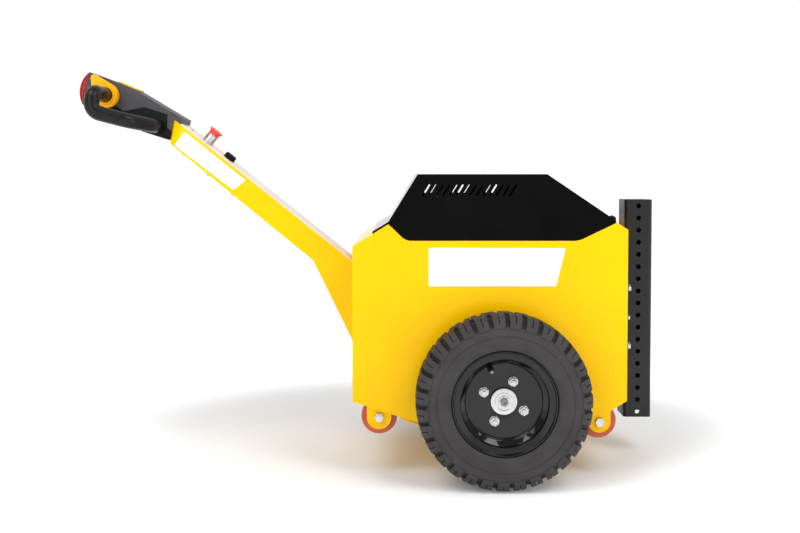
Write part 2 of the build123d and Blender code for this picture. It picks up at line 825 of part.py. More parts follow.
# closed hand loops and the thumb paddles that turn around them
loop_bend = grip_radius + loop_bend_gap
for hand, way in hands:
    with BuildPart() as grip_loop:
        with BuildLine() as route:
            FilletPolyline(
                (0, -way * half_head, 0),
                (0, -way * grip_reach, 0),
                (-loop_heel_share * head_reach, -way * (grip_reach + loop_heel_flare), -loop_heel_drop),
                (loop_toe_share * head_reach, -way * (grip_reach - loop_toe_tuck), -loop_toe_drop),
                (loop_end_share * head_reach, -way * (half_head + loop_end_stub), -loop_end_drop),
                (loop_end_share * head_reach, -way * half_head, -loop_end_drop),
                radius=(loop_bend, loop_heel_bend, loop_toe_bend, loop_end_bend),
            )
        with BuildSketch(Plane(origin=(0, -way * half_head, 0), x_dir=(1, 0, 0), z_dir=(0, -way, 0))):
            Circle(grip_radius)
        sweep()
    grip_loop.part.label = f"grip_loop_{hand}"
    export_step(grip_loop.part, f"parts/grip_loop_{hand}.step")

    with BuildPart() as paddle:
        with BuildSketch(side.offset(way * half_head)) as blade:
            with Locations((grip_x, grip_height)):
                Circle(paddle_radius)
            with Locations((grip_x - horn_behind, grip_height + horn_rise)):
                Circle(horn_radius)
            make_hull(blade.edges())
            with Locations((grip_x, grip_height)):
                Circle(grip_radius + fit_gap, mode=Mode.SUBTRACT)
        extrude(amount=way * paddle_width)
    paddle.part.label = f"paddle_{hand}"
    export_step(paddle.part, f"parts/paddle_{hand}.step")
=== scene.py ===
import json
import math

import bmesh
import bpy
from mathutils import Matrix, Vector

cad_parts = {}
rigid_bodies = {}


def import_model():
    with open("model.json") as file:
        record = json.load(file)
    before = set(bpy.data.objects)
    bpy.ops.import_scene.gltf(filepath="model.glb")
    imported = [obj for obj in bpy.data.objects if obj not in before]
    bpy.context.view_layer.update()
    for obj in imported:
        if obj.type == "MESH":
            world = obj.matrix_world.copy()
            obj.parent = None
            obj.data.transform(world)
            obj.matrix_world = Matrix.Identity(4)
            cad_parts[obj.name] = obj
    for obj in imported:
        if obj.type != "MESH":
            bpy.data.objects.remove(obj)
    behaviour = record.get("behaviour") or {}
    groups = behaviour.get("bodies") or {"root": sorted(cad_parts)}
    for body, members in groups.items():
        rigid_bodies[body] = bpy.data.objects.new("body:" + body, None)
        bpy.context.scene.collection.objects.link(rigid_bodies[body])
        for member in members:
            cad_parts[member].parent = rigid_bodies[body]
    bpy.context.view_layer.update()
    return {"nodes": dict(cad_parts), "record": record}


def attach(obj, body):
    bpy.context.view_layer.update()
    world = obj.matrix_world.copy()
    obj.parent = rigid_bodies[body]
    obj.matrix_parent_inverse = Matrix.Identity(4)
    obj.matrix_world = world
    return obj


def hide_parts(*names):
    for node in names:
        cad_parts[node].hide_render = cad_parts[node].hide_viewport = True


for old in list(bpy.data.objects):
    bpy.data.objects.remove(old)

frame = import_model()
nodes = frame["nodes"]
joints = {joint["name"]: joint for joint in frame["record"]["behaviour"]["joints"]}
wheelPlace = Vector(joints["drive_wheel_right_spin"]["pos_m"])
axle = Vector((wheelPlace.x, 0, wheelPlace.z))  # the middle of the drive wheels' axle
acrossAxis = (0, 1, 0)
sides = {"right": -1, "left": 1}
print("tractor frame loaded:", len(nodes), "nodes")

shop = {"axleHeight": 200.5}  # millimetres above the floor


def spot(x, y, z):  # millimetres: x forward of the axle, y to the tractor's left, z above the floor
    return axle + Vector((x, y, z - shop["axleHeight"])) / 1000


# finishes

# the last entry is the share of colour kept in the painted shade between the tyre's lugs
surface = {
    "grainRough": 0.55, "cloudDetail": 4.0, "cloudRange": (0.3, 0.7), "wearScale": 8, "wearDetail": 5.0,
    "wearRange": (0.35, 0.65), "skinDetail": 2.0, "skinDistance": 0.0004, "paintedGapShade": 0.22,
}


def newFinish(name):
    mat = bpy.data.materials.new(name)
    mat.use_nodes = True
    tree = mat.node_tree
    return mat, tree, tree.nodes["Principled BSDF"]


def wire(tree, source, outName, target, inName):
    tree.links.new(source.outputs[outName], target.inputs[inName])


def grain(tree, scale, detail):
    coord = tree.nodes.new("ShaderNodeTexCoord")
    noise = tree.nodes.new("ShaderNodeTexNoise")
    noise.inputs["Scale"].default_value = scale
    noise.inputs["Detail"].default_value = detail
    noise.inputs["Roughness"].default_value = surface["grainRough"]
    wire(tree, coord, "Object", noise, "Vector")
    return noise


def mapped(tree, source, outName, fromRange, toRange):
    ramp = tree.nodes.new("ShaderNodeMapRange")
    ends = ("From Min", "From Max", "To Min", "To Max")
    for end, value in zip(ends, (*fromRange, *toRange)):
        ramp.inputs[end].default_value = value
    wire(tree, source, outName, ramp, "Value")
    return ramp


def tint(tree, source, shades, fromRange):
    ramp = tree.nodes.new("ShaderNodeValToRGB")
    for element, shade, position in zip(ramp.color_ramp.elements, shades, fromRange):
        element.position = position
        element.color = (*shade, 1)
    wire(tree, source, "Fac", ramp, "Fac")
    return ramp


def dent(tree, source, strength, distance, shader):
    bump = tree.nodes.new("ShaderNodeBump")
    bump.inputs["Strength"].default_value = strength
    bump.inputs["Distance"].default_value = distance
    wire(tree, source, "Fac", bump, "Height")
    wire(tree, bump, "Normal", shader, "Normal")


# each finish: two shades, range of roughness, specular level, metallic, cloud scale, skin scale and depth
finishes = {
    "yellowPaint": ((0.88, 0.495, 0.0005), (0.93, 0.535, 0.001), (0.13, 0.20), 0.10, 0, 5, 700, 0.015),
    "coverCoat": ((0.0022, 0.002, 0.0022), (0.0042, 0.0038, 0.0042), (0.07, 0.11), 0.04, 0, 8, 1100, 0.01),
    "mastCoat": ((0.0060, 0.0052, 0.0050), (0.0105, 0.0092, 0.0090), (0.26, 0.36), 0.30, 0, 8, 1100, 0.08),
    "rimGloss": ((0.003, 0.003, 0.0033), (0.006, 0.006, 0.0065), (0.05, 0.09), 0.34, 0, 12, 500, 0.015),
    "tyreRubber": ((0.030, 0.027, 0.028), (0.046, 0.042, 0.043), (0.56, 0.76), 0.26, 0, 16, 420, 0.22),
    "redTread": ((0.44, 0.075, 0.03), (0.58, 0.11, 0.045), (0.36, 0.5), 0.3, 0, 30, 600, 0.08),
    "redPlastic": ((0.30, 0.010, 0.013), (0.40, 0.016, 0.020), (0.26, 0.38), 0.30, 0, 25, 900, 0.04),
    "stopRed": ((0.66, 0.055, 0.035), (0.78, 0.080, 0.055), (0.28, 0.4), 0.3, 0, 25, 900, 0.04),
    "amberPlastic": ((0.87, 0.36, 0.001), (0.95, 0.44, 0.002), (0.32, 0.44), 0.13, 0, 25, 900, 0.05),
    "greyShell": ((0.042, 0.042, 0.047), (0.056, 0.056, 0.062), (0.45, 0.58), 0.25, 0, 18, 1300, 0.16),
    "blackShell": ((0.004, 0.0034, 0.0036), (0.0068, 0.0060, 0.0064), (0.32, 0.44), 0.09, 0, 18, 1300, 0.12),
    "gripRubber": ((0.006, 0.0054, 0.0056), (0.01, 0.0092, 0.0096), (0.28, 0.38), 0.20, 0, 18, 1300, 0.12),
    "whiteLabel": ((0.84, 0.84, 0.83), (0.90, 0.90, 0.89), (0.26, 0.34), 0.4, 0, 10, 300, 0.02),
    # painted reflection: a pale colour on the arm's top plate in place of white reflected by glossy yellow
    # paint
    "paintedReflectionPlate": ((0.70, 0.60, 0.52), (0.78, 0.68, 0.60), (0.38, 0.5), 0.3, 0.25, 14, 500, 0.05),
    "zinc": ((0.44, 0.44, 0.44), (0.58, 0.58, 0.58), (0.26, 0.42), 0.5, 1, 40, 350, 0.10),
    "darkSteel": ((0.16, 0.155, 0.15), (0.26, 0.25, 0.24), (0.34, 0.5), 0.5, 1, 40, 350, 0.10),
    "castGrey": ((0.07, 0.07, 0.07), (0.13, 0.13, 0.13), (0.5, 0.7), 0.4, 0.3, 20, 250, 0.25),
}


def makeFinish(name):
    dark, light, rough, specular, metallic, cloudScale, skinScale, skinDepth = finishes[name]
    mat, tree, shader = newFinish(name)
    shader.inputs["Specular IOR Level"].default_value = specular
    shader.inputs["Metallic"].default_value = metallic
    cloud = grain(tree, cloudScale, surface["cloudDetail"])
    wire(tree, tint(tree, cloud, (dark, light), surface["cloudRange"]), "Color", shader, "Base Color")
    wear = grain(tree, surface["wearScale"] * cloudScale, surface["wearDetail"])
    wire(tree, mapped(tree, wear, "Fac", surface["wearRange"], rough), "Result", shader, "Roughness")
    dent(tree, grain(tree, skinScale, surface["skinDetail"]), skinDepth, surface["skinDistance"], shader)
    return mat


def paintGapShade(mat):  # scales the colour by an attribute of the piece: painted shade where it is 0
    tree = mat.node_tree
    colour = tree.nodes["Principled BSDF"].inputs["Base Color"]
    shade = tree.nodes.new("ShaderNodeAttribute")
    shade.attribute_name = "paintedShadeMask"
    share = mapped(tree, shade, "Fac", (0, 1), (surface["paintedGapShade"], 1))
    scaled = tree.nodes.new("ShaderNodeVectorMath")
    scaled.operation = "SCALE"
    tree.links.new(colour.links[0].from_socket, scaled.inputs[0])
    wire(tree, share, "Result", scaled, "Scale")
    tree.links.new(scaled.outputs["Vector"], colour)


mats = {name: makeFinish(name) for name in finishes}
# painted shade: the tyre's colour is darkened in the gaps between its lugs
paintGapShade(mats["tyreRubber"])

# parts of node names that take each finish
nodeFinish = {
    "yellowPaint": [
        "side_plate_", "rear_panel", "front_panel", "floor_tray", "battery_shelf", "tiller_arm", "_fork_",
    ],
    "coverCoat": ["top_cover"],
    "mastCoat": ["mast_post", "mast_cap", "mast_bracket"],
    "rimGloss": ["rim_"],
    "zinc": ["hub_", "_pin_", "estop_collar"],
    # painted reflection on the arm's top plate
    "paintedReflectionPlate": ["arm_top_plate"],
    "castGrey": ["drive_unit"],
    "tyreRubber": ["tyre_"],
    "redTread": ["front_roller_right", "front_roller_left", "rear_roller_right", "rear_roller_left"],
    "redPlastic": ["belly_button"],
    "stopRed": ["estop_button"],
    "amberPlastic": ["head_strip", "paddle_"],
    "greyShell": ["head_upper_shell"],
    "blackShell": ["key_switch", "head_lower_shell", "battery_pack"],
    "gripRubber": ["grip_loop_"],
}
finishOf = {}
for finishName, marks in nodeFinish.items():
    for nodeName, node in nodes.items():
        if any(mark in nodeName for mark in marks):
            finishOf[nodeName] = finishName
            node.data.materials.clear()
            node.data.materials.append(mats[finishName])
print("finishes ready:", len(mats))


# ways of making a piece

edgeRules = {  # millimetres and degrees; an edge runs across if acrossShare of it lies along Y
    "weld": 0.01, "turnedWeld": 0.005, "flatAngle": 0.3, "sharpAngle": 24, "crease": 50, "segments": 3,
    "acrossShare": 0.9,
}


def finishPiece(bm, name, finishName, body, replaced=(), crease=35):
    mesh = bpy.data.meshes.new(name)
    bm.to_mesh(mesh)
    bm.free()
    mesh.shade_smooth()
    mesh.set_sharp_from_angle(angle=math.radians(crease))
    mesh.materials.append(mats[finishName])
    piece = bpy.data.objects.new(name, mesh)
    bpy.context.scene.collection.objects.link(piece)
    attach(piece, body)
    if replaced:
        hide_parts(*replaced)
    return piece


def bevelEdges(bm, edges, size, segments=edgeRules["segments"]):  # size in millimetres
    bmesh.ops.bevel(
        bm, geom=edges, offset=size / 1000, segments=segments, profile=0.5, affect="EDGES", material=-1
    )


def roundEdges(piece, width, segments):
    bevel = piece.modifiers.new("roundEdges", "BEVEL")
    bevel.limit_method = "WEIGHT"
    bevel.width = width / 1000
    bevel.segments = segments
    smooth = piece.modifiers.new("evenShade", "WEIGHTED_NORMAL")
    smooth.keep_sharp = True


# where the side plates are cut out for the cover, with corners in the side view
cutOut = {"corners": ((-222, 561), (184, 561)), "reach": 20.0, "round": 12.0, "segments": 6}


def inCutOut(edge):
    middle = (edge.verts[0].co + edge.verts[1].co) / 2
    corners = [spot(x, 0, z) for x, z in cutOut["corners"]]
    return any(math.hypot(middle.x - c.x, middle.z - c.z) < cutOut["reach"] / 1000 for c in corners)


def runsAcross(edge):
    return abs(edge.verts[0].co.y - edge.verts[1].co.y) > edgeRules["acrossShare"] * edge.calc_length()


def softened(nodeName, width, shortest, segments=edgeRules["segments"], chosen=lambda edge: True):
    bm = bmesh.new()
    bm.from_mesh(nodes[nodeName].data)
    bmesh.ops.remove_doubles(bm, verts=bm.verts, dist=edgeRules["weld"] / 1000)
    flat = math.radians(edgeRules["flatAngle"])
    bmesh.ops.dissolve_limit(bm, angle_limit=flat, verts=bm.verts, edges=bm.edges)
    plate = nodeName.startswith("side_plate")
    if plate:
        corners = [e for e in bm.edges if runsAcross(e) and inCutOut(e)]
        bevelEdges(bm, corners, cutOut["round"], cutOut["segments"])
    weight = bm.edges.layers.float.new("bevel_weight_edge")
    for edge in bm.edges:
        sharp = edge.is_manifold and edge.calc_face_angle(0) > math.radians(edgeRules["sharpAngle"])
        longEnough = edge.calc_length() > shortest / 1000 or plate and inCutOut(edge)
        if sharp and longEnough and chosen(edge):
            edge[weight] = 1.0
    name, crease = nodeName + "_rounded", edgeRules["crease"]
    piece = finishPiece(bm, name, finishOf[nodeName], "chassis", [nodeName], crease)
    roundEdges(piece, width, segments)


def lathe(bm, outline, centre, direction, steps, rounding=0.0, angle=math.tau):  # bm is new and empty
    verts = [bm.verts.new(point) for point in outline]
    face = bm.faces.new(verts)
    if rounding:
        bmesh.ops.bevel(
            bm, geom=verts, offset=rounding / 1000, segments=edgeRules["segments"], profile=0.5,
            affect="VERTICES", material=-1,
        )
        face = max(bm.faces, key=lambda f: len(f.verts))
    rim = list(face.verts) + list(face.edges)
    if angle == math.tau:
        bmesh.ops.delete(bm, geom=[face], context="FACES_ONLY")
        bmesh.ops.spin(bm, geom=rim, cent=centre, axis=direction, angle=angle, steps=steps, use_merge=True)
    else:
        bmesh.ops.spin(bm, geom=[face] + rim, cent=centre, axis=direction, angle=angle, steps=steps)
    bmesh.ops.remove_doubles(bm, verts=bm.verts, dist=edgeRules["turnedWeld"] / 1000)
    bmesh.ops.recalc_face_normals(bm, faces=bm.faces)


def turned(place, direction):
    return Matrix.Translation(place) @ Vector(direction).to_track_quat("Z", "Y").to_matrix().to_4x4()


def disc(bm, place, direction, radius, height, chamfer, segments, twist=0.0):
    lift = Matrix.Translation((0, 0, height / 2000))
    made = bmesh.ops.create_cone(
        bm, cap_ends=True, segments=segments, radius1=radius / 1000, radius2=radius / 1000,
        depth=height / 1000, matrix=turned(place, direction) @ lift @ Matrix.Rotation(twist, 4, "Z"),
    )
    out = Vector(direction).normalized()
    top = {v for v in made["verts"] if (v.co - place).dot(out) > height / 2000}
    edges = {e for v in top for e in v.link_edges if e.other_vert(v) in top}
    bevelEdges(bm, list(edges), chamfer)


def hexBlock(bm, place, direction, acrossFlats, height, chamfer, twist=0.0):
    radius = acrossFlats / 2 / math.cos(math.pi / 6)
    disc(bm, place, direction, radius, height, chamfer, 6, twist)


# folded sheet: rounded copies of the flat-edged solids
# each has its rounding and the shortest edge that gets it, in millimetres
sheetEdges = {
    "side_plate_right": (1.3, 6), "side_plate_left": (1.3, 6), "rear_panel": (1.8, 20),
    "front_panel": (1.5, 20), "floor_tray": (1.5, 12), "top_cover": (3.2, 60), "tiller_arm": (3.0, 8),
    "arm_top_plate": (0.9, 5), "mast_bracket": (1.5, 8), "mast_cap": (0.6, 10), "head_strip": (1.5, 8),
    "estop_collar": (0.8, 0), "paddle_right": (5.0, 0), "paddle_left": (5.0, 0),
    "rear_roller_fork_right": (1.0, 4), "rear_roller_fork_left": (1.0, 4),
}
for nodeName, (width, shortest) in sheetEdges.items():
    softened(nodeName, width, shortest)
print("sheet rounded:", len(sheetEdges))

# tiller head: the shells are rounded along their backs and bellies, not where they meet
headLook = {
    "upperSeam": ((-1040, 938), (-780, 830)), "lowerSeam": ((-1040, 897), (-800, 806)), "seamSlack": 1.0,
    "upperRound": 9.0, "lowerRound": 11.0, "shortest": 4.0, "segments": 5,
}


def beside(edge, seam, above):
    (x0, z0), (x1, z1) = headLook[seam]
    low, high = spot(x0, 0, z0), spot(x1, 0, z1)
    slope = (high.z - low.z) / (high.x - low.x)
    rises = [vert.co.z - low.z - slope * (vert.co.x - low.x) for vert in edge.verts]
    slack = headLook["seamSlack"] / 1000
    return min(rises) > -slack if above else max(rises) < slack


for shellName, seam, above, width in (
    ("head_upper_shell", "upperSeam", True, headLook["upperRound"]),
    ("head_lower_shell", "lowerSeam", False, headLook["lowerRound"]),
):
    softened(
        shellName, width, headLook["shortest"], headLook["segments"], lambda edge: beside(edge, seam, above)
    )

# belly button: a lens between nose and chin, with grooves at shares of its depth
bellyButton = {
    "nose": (-1015.4, 972.1), "chin": (-1032.9, 889.6), "faceBulge": 2.5, "edge": 6.0, "depth": 18.9,
    "halfWidth": 37.0, "grooveStarts": (0.28, 0.62), "grooveSteps": (0.05, 0.11, 0.16), "groove": 1.6,
    "faceInset": 1.0, "slices": 28, "round": 1.6, "roundAngle": 60, "shortest": 50.0,
}


def bowed(start, end, bulge, share):  # a point on an arc that bulges to the right of its way, seen along Y
    half = (end - start) / 2
    out = Vector((half.z, 0, -half.x)).normalized()
    radius = (half.length_squared + bulge * bulge) / (2 * bulge)
    centre = start + half + out * (bulge - radius)
    reach = math.asin(half.length / radius) * (2 * share - 1)
    return centre + (out * math.cos(reach) + half.normalized() * math.sin(reach)) * radius


def bellyRing(share):  # one slice: out along the left flank, back along the right
    b = bellyButton
    nose, chin = (spot(x, 0, z) for x, z in (b["nose"], b["chin"]))
    ahead = Vector((chin.z - nose.z, 0, nose.x - chin.x)).normalized() * b["edge"] / 1000
    inner = bowed(nose, chin, b["faceBulge"] / 1000, share)
    outer = bowed(nose + ahead, chin + ahead, (b["faceBulge"] + b["depth"] - b["edge"]) / 1000, share)
    flank = [(0, 0)]
    for start in b["grooveStarts"]:
        enter, leave, end = (start + step for step in b["grooveSteps"])
        flank += [(start, 0), (enter, b["groove"]), (leave, b["groove"]), (end, 0)]
    flank.append((1, b["faceInset"]))
    ring = [(depth, b["halfWidth"] - inset) for depth, inset in flank]
    ring += [(depth, -wide) for depth, wide in reversed(ring)]
    return [inner.lerp(outer, depth) + Vector((0, wide / 1000, 0)) for depth, wide in ring]


def makeBellyButton():
    b = bellyButton
    bm = bmesh.new()
    ring = [bm.verts.new(point) for point in bellyRing(0)]
    face = bm.faces.new(ring)
    for step in range(1, b["slices"] + 1):  # each slice is drawn out of the last one
        last = face
        made = bmesh.ops.extrude_face_region(bm, geom=[last])["geom"]
        face = next(item for item in made if isinstance(item, bmesh.types.BMFace))
        fresh = set(face.verts)
        ring = [next(e.other_vert(v) for e in v.link_edges if e.other_vert(v) in fresh) for v in ring]
        for vert, point in zip(ring, bellyRing(step / b["slices"])):
            vert.co = point
        if step > 1:  # only the first face stays, as the end
            bmesh.ops.delete(bm, geom=[last], context="FACES_ONLY")
    bmesh.ops.recalc_face_normals(bm, faces=bm.faces)
    sharp = [e for e in bm.edges if e.calc_face_angle(0) > math.radians(b["roundAngle"])]
    bevelEdges(bm, [e for e in sharp if e.calc_length() > b["shortest"] / 1000], b["round"])
    replaced = ["belly_button"]
    finishPiece(bm, "belly_button_ribbed", "redPlastic", "chassis", replaced, crease=40)


makeBellyButton()
print("tiller head shaped")

# drive wheels: millimetres across the wheel from its middle, outwards, and radii
wheelSize = {
    "middle": 268.0, "tyreRadius": 200.5, "halfWidth": 52.0, "treadHalf": 46.0, "shoulder": 185.0,
    "gapStart": 175.0, "beadTop": 121.0, "flange": 119.0, "seat": 103.0, "well": 92.0, "halfRim": 38.0,
    "sheet": 3.0, "rimRound": 1.2, "discOut": 12.0, "disc": 4.0, "bore": 30.0, "boreGap": 0.15, "steps": 160,
}
lugSize = {
    "height": 6.0, "root": 172.0, "foot": 183.0, "count": 31, "share": 0.72, "slit": 1.6, "round": 1.2,
    "roundAngle": 50, "roundSegments": 2, "steps": 3,
}


def wheelPoint(way, out, radius, turn=0.0):
    reach = wheelSize["middle"] + out
    return axle + Vector((math.sin(turn) * radius, way * reach, math.cos(turn) * radius)) / 1000


def tyreSection():  # bead to crown on one side, with the moulded rings of the sidewall
    w = wheelSize
    bead, carcass = w["halfRim"] - 6, w["tyreRadius"] - lugSize["height"]
    return [
        (bead - 5, w["seat"] + 0.3), (bead, w["seat"] + 5.3), (bead, w["beadTop"]),
        (43.0, w["beadTop"] + 0.2), (45.6, 124.0), (48.6, 130.5), (50.4, 138.0), (51.2, 146.0),
        (51.4, 152.6), (50.7, 153.3), (50.7, 154.7), (51.7, 155.4), (51.9, 160.0), (51.8, 168.4),
        (51.6, 170.6), (50.7, 171.3), (50.5, 173.0), (48.8, 177.0),
        (w["treadHalf"] - 3.5, w["shoulder"] - 1), (33.0, carcass - 4), (22.0, carcass),
    ]


def lugBlocks(pitch):  # sections of a lug with where each begins and how far it turns: foot, then two halves
    w, lug = wheelSize, lugSize
    half, top, foot = w["halfWidth"], w["tyreRadius"], lug["foot"]
    under = top - lug["height"] - 4
    footSection = [
        (44.0, lug["root"]), (half - 0.1, lug["root"]), (half - 0.1, foot - 4), (half - 1.0, foot),
        (42.0, foot),
    ]
    crownSection = [  # from the sidewall over the shoulder to past the middle
        (44.0, foot - 3), (half - 1.3, foot - 3), (half - 3.2, w["shoulder"] + 1.5),
        (w["treadHalf"] * 0.84, top - 3.6), (27.0, top - 0.8), (-10.0, top), (-10.0, under), (23.0, under),
    ]
    whole = pitch * lug["share"]
    slit = lug["slit"] / top
    halfTurn, secondHalf = (whole - slit) / 2, (whole + slit) / 2
    return [(footSection, 0.0, whole), (crownSection, 0.0, halfTurn), (crownSection, secondHalf, halfTurn)]


def lugRing(way, end):  # a mesh of all the lugs on one end of the tread, staggered by half a pitch
    pitch = math.tau / lugSize["count"]
    lugs = bmesh.new()
    for section, begin, arc in lugBlocks(pitch):
        start = pitch * end / 4 + begin
        lug = bmesh.new()
        points = [wheelPoint(way, end * out, radius, start) for out, radius in section]
        lathe(lug, points, axle, acrossAxis, lugSize["steps"], 0, arc)
        least = math.radians(lugSize["roundAngle"])
        sharp = [e for e in lug.edges if e.is_manifold and e.calc_face_angle(0) > least]
        bevelEdges(lug, sharp, lugSize["round"], lugSize["roundSegments"])
        loose = bpy.data.meshes.new("lugBlock")
        lug.to_mesh(loose)
        lug.free()
        for step in range(lugSize["count"]):
            before = len(lugs.verts)
            lugs.from_mesh(loose)
            lugs.verts.ensure_lookup_table()
            turn = Matrix.Rotation(step * pitch, 3, "Y")
            bmesh.ops.rotate(lugs, verts=lugs.verts[before:], cent=axle, matrix=turn)
        bpy.data.meshes.remove(loose)
    ring = bpy.data.meshes.new("lugRing")
    lugs.to_mesh(ring)
    lugs.free()
    return ring


def makeTyre(hand, way):
    section = tyreSection()
    outline = [wheelPoint(way, out, radius) for out, radius in section]
    outline += [wheelPoint(way, -out, radius) for out, radius in reversed(section)]
    bm = bmesh.new()
    lathe(bm, outline, axle, acrossAxis, wheelSize["steps"])
    carcassCount = len(bm.verts)
    for end in (1, -1):
        ring = lugRing(way, end)
        bm.from_mesh(ring)
        bpy.data.meshes.remove(ring)
    # painted shade: the carcass between the lugs, from gapStart outwards, gets 0 and is darkened; lugs and
    # sidewall get 1
    shade = bm.verts.layers.float.new("paintedShadeMask")
    for index, vert in enumerate(bm.verts):
        radius = math.hypot(vert.co.x - axle.x, vert.co.z - axle.z) * 1000
        vert[shade] = 1.0 if index >= carcassCount or radius < wheelSize["gapStart"] else 0.0
    body = "drive_wheel_" + hand
    finishPiece(bm, "tyre_tread_" + hand, "tyreRubber", body, ["tyre_" + hand], crease=40)


def makeRim(hand, way):
    w = wheelSize
    edge, seat, well, lip = w["halfRim"], w["seat"], w["well"], w["flange"]
    face, wall = w["discOut"], w["sheet"]
    back, hole = face - w["disc"], w["bore"] + w["boreGap"]
    outline = [  # tyre side from lip to lip, then back along the side that shows, round the disc
        (edge + 3, lip), (edge - 4.5, lip - 1.5), (edge - 6, seat), (edge / 2 + 3, seat), (face + 3, well),
        (-edge / 2 + 3, well), (-edge / 2 - 3, seat), (-edge + 6, seat), (-edge + 4.5, lip - 1.5),
        (-edge - 3, lip), (-edge - 3, lip - wall), (-edge + 1.8, lip - wall - 1.5), (-edge + 3, seat - wall),
        (-edge / 2 - 1, seat - wall), (-edge / 2 + 5, well - wall), (back, well - wall), (back, hole),
        (face, hole), (face, well - 9), (face + 1.2, well - 5), (face + 4.5, well - wall),
        (edge / 2 + 5, seat - wall), (edge - 3, seat - wall), (edge - 1.8, lip - wall - 1.5),
        (edge + 3, lip - wall),
    ]
    bm = bmesh.new()
    points = [wheelPoint(way, out, radius) for out, radius in outline]
    lathe(bm, points, axle, acrossAxis, w["steps"], w["rimRound"])
    body = "drive_wheel_" + hand
    finishPiece(bm, "rim_dish_" + hand, "rimGloss", body, ["rim_" + hand], crease=28)


# valve: its place on the rim and its lean inwards; its pieces have radius, height, chamfer and segments
valve = {
    "turn": -0.392, "radius": 80.0, "start": 8.0, "lean": -0.25,
    "base": (7.5, 7, 2.5, 24), "tube": (5.4, 13, 1.2, 24), "cap": (4.4, 8, 1.4, 18),
}


def makeValve(hand, way):
    place = wheelPoint(way, valve["start"], valve["radius"], valve["turn"])
    lean = Vector((math.sin(valve["turn"]) * valve["lean"], way, math.cos(valve["turn"]) * valve["lean"]))
    bm = bmesh.new()
    disc(bm, place, lean, *valve["base"])
    disc(bm, place, lean, *valve["tube"])
    finishPiece(bm, "valve_stem_" + hand, "blackShell", "drive_wheel_" + hand)
    bm = bmesh.new()
    tubeHeight = valve["tube"][1]
    disc(bm, place + lean * tubeHeight / 1000, lean, *valve["cap"])
    finishPiece(bm, "valve_cap_" + hand, "darkSteel", "drive_wheel_" + hand)


# hub: distances from the rim's disc and radii, then the studs with their nuts and the bolt in the middle
hubSize = {
    "shaftEnd": 122.0, "shaft": 15.0, "flangeBack": 12.0, "flange": 66.0, "nose": 5.0, "noseRim": 21.0,
    "dish": 4.0, "dishRim": 19.5, "boss": 13.0, "bossOut": 7.0, "round": 0.6, "steps": 96,
}
studs = {  # washer and stud as the valve's pieces
    "circle": 50.0, "count": 4, "angle": 65.0, "nutAcross": 19.0, "nutHeight": 10.0, "nutChamfer": 1.6,
    "washer": (11.5, 1.6, 0.5, 32), "stud": (6, 15.0, 1.6, 24), "twist": 0.2,
}
bolt = {
    "across": 17.0, "height": 7.0, "chamfer": 1.2, "twist": 0.3, "socketWall": 4.5, "socketDepth": 3.0,
    "socketDraft": 0.2,
}


def makeHub(hand, way):
    h, face, outwards = hubSize, wheelSize["discOut"], (0, way, 0)
    seatOut, bore = face - wheelSize["disc"], wheelSize["bore"]
    outline = [
        (face - h["shaftEnd"], 0), (face - h["shaftEnd"], h["shaft"]), (face - h["flangeBack"], h["shaft"]),
        (face - h["flangeBack"], h["flange"]), (seatOut, h["flange"]), (seatOut, bore),
        (face + h["nose"], bore), (face + h["nose"], h["noseRim"]), (face + h["dish"], h["dishRim"]),
        (face + h["dish"], h["boss"]), (face + h["bossOut"], h["boss"]), (face + h["bossOut"], 0),
    ]
    bm = bmesh.new()
    points = [wheelPoint(way, out, radius) for out, radius in outline]
    lathe(bm, points, axle, acrossAxis, h["steps"], h["round"])
    for step in range(studs["count"]):
        turn = math.radians(90 - studs["angle"] - 360 / studs["count"] * step)
        foot = wheelPoint(way, face, studs["circle"], turn)
        disc(bm, foot, outwards, *studs["washer"])
        nutTwist = studs["twist"] + step
        hexBlock(bm, foot, outwards, studs["nutAcross"], studs["nutHeight"], studs["nutChamfer"], nutTwist)
        disc(bm, foot, outwards, *studs["stud"])
    body = "drive_wheel_" + hand
    finishPiece(bm, "hub_face_" + hand, "zinc", body, ["hub_" + hand], crease=30)
    bm = bmesh.new()
    foot = wheelPoint(way, face + h["bossOut"], 0)
    hexBlock(bm, foot, outwards, bolt["across"], bolt["height"], bolt["chamfer"], bolt["twist"])
    top = max(bm.faces, key=lambda f: f.calc_center_median().y * way)
    bmesh.ops.inset_individual(bm, faces=[top], thickness=bolt["socketWall"] / 1000)
    bmesh.ops.inset_individual(
        bm, faces=[top], thickness=bolt["socketDraft"] / 1000, depth=-bolt["socketDepth"] / 1000
    )
    finishPiece(bm, "hub_bolt_" + hand, "darkSteel", body, crease=30)


for hand, way in sides.items():
    makeTyre(hand, way)
    makeRim(hand, way)
    makeValve(hand, way)
    makeHub(hand, way)
print("drive wheels made")

# labels: blank white film on the side that the photograph shows, with corners in the side view
labels = {
    "body_label": {"out": -200.0, "corners": [(-168, 542.5), (154, 541.5), (132, 451.5), (-168, 451.5)]},
    "arm_label": {"out": -50.0, "corners": [(-778, 822), (-625, 699.5), (-656.5, 676), (-804, 789)]},
}
film = {"thickness": 0.4, "corner": 4.0, "segments": 4}
for labelName, label in labels.items():
    bm = bmesh.new()
    back = bm.faces.new([bm.verts.new(spot(x, label["out"], z)) for x, z in label["corners"]])
    raised = bmesh.ops.extrude_face_region(bm, geom=[back])["geom"]
    top = [v for v in raised if isinstance(v, bmesh.types.BMVert)]
    bmesh.ops.translate(bm, verts=top, vec=(0, -film["thickness"] / 1000, 0))
    bevelEdges(bm, [e for e in bm.edges if runsAcross(e)], film["corner"], film["segments"])
    bmesh.ops.recalc_face_normals(bm, faces=bm.faces)
    finishPiece(bm, labelName, "whiteLabel", "chassis")
print("labels laid")

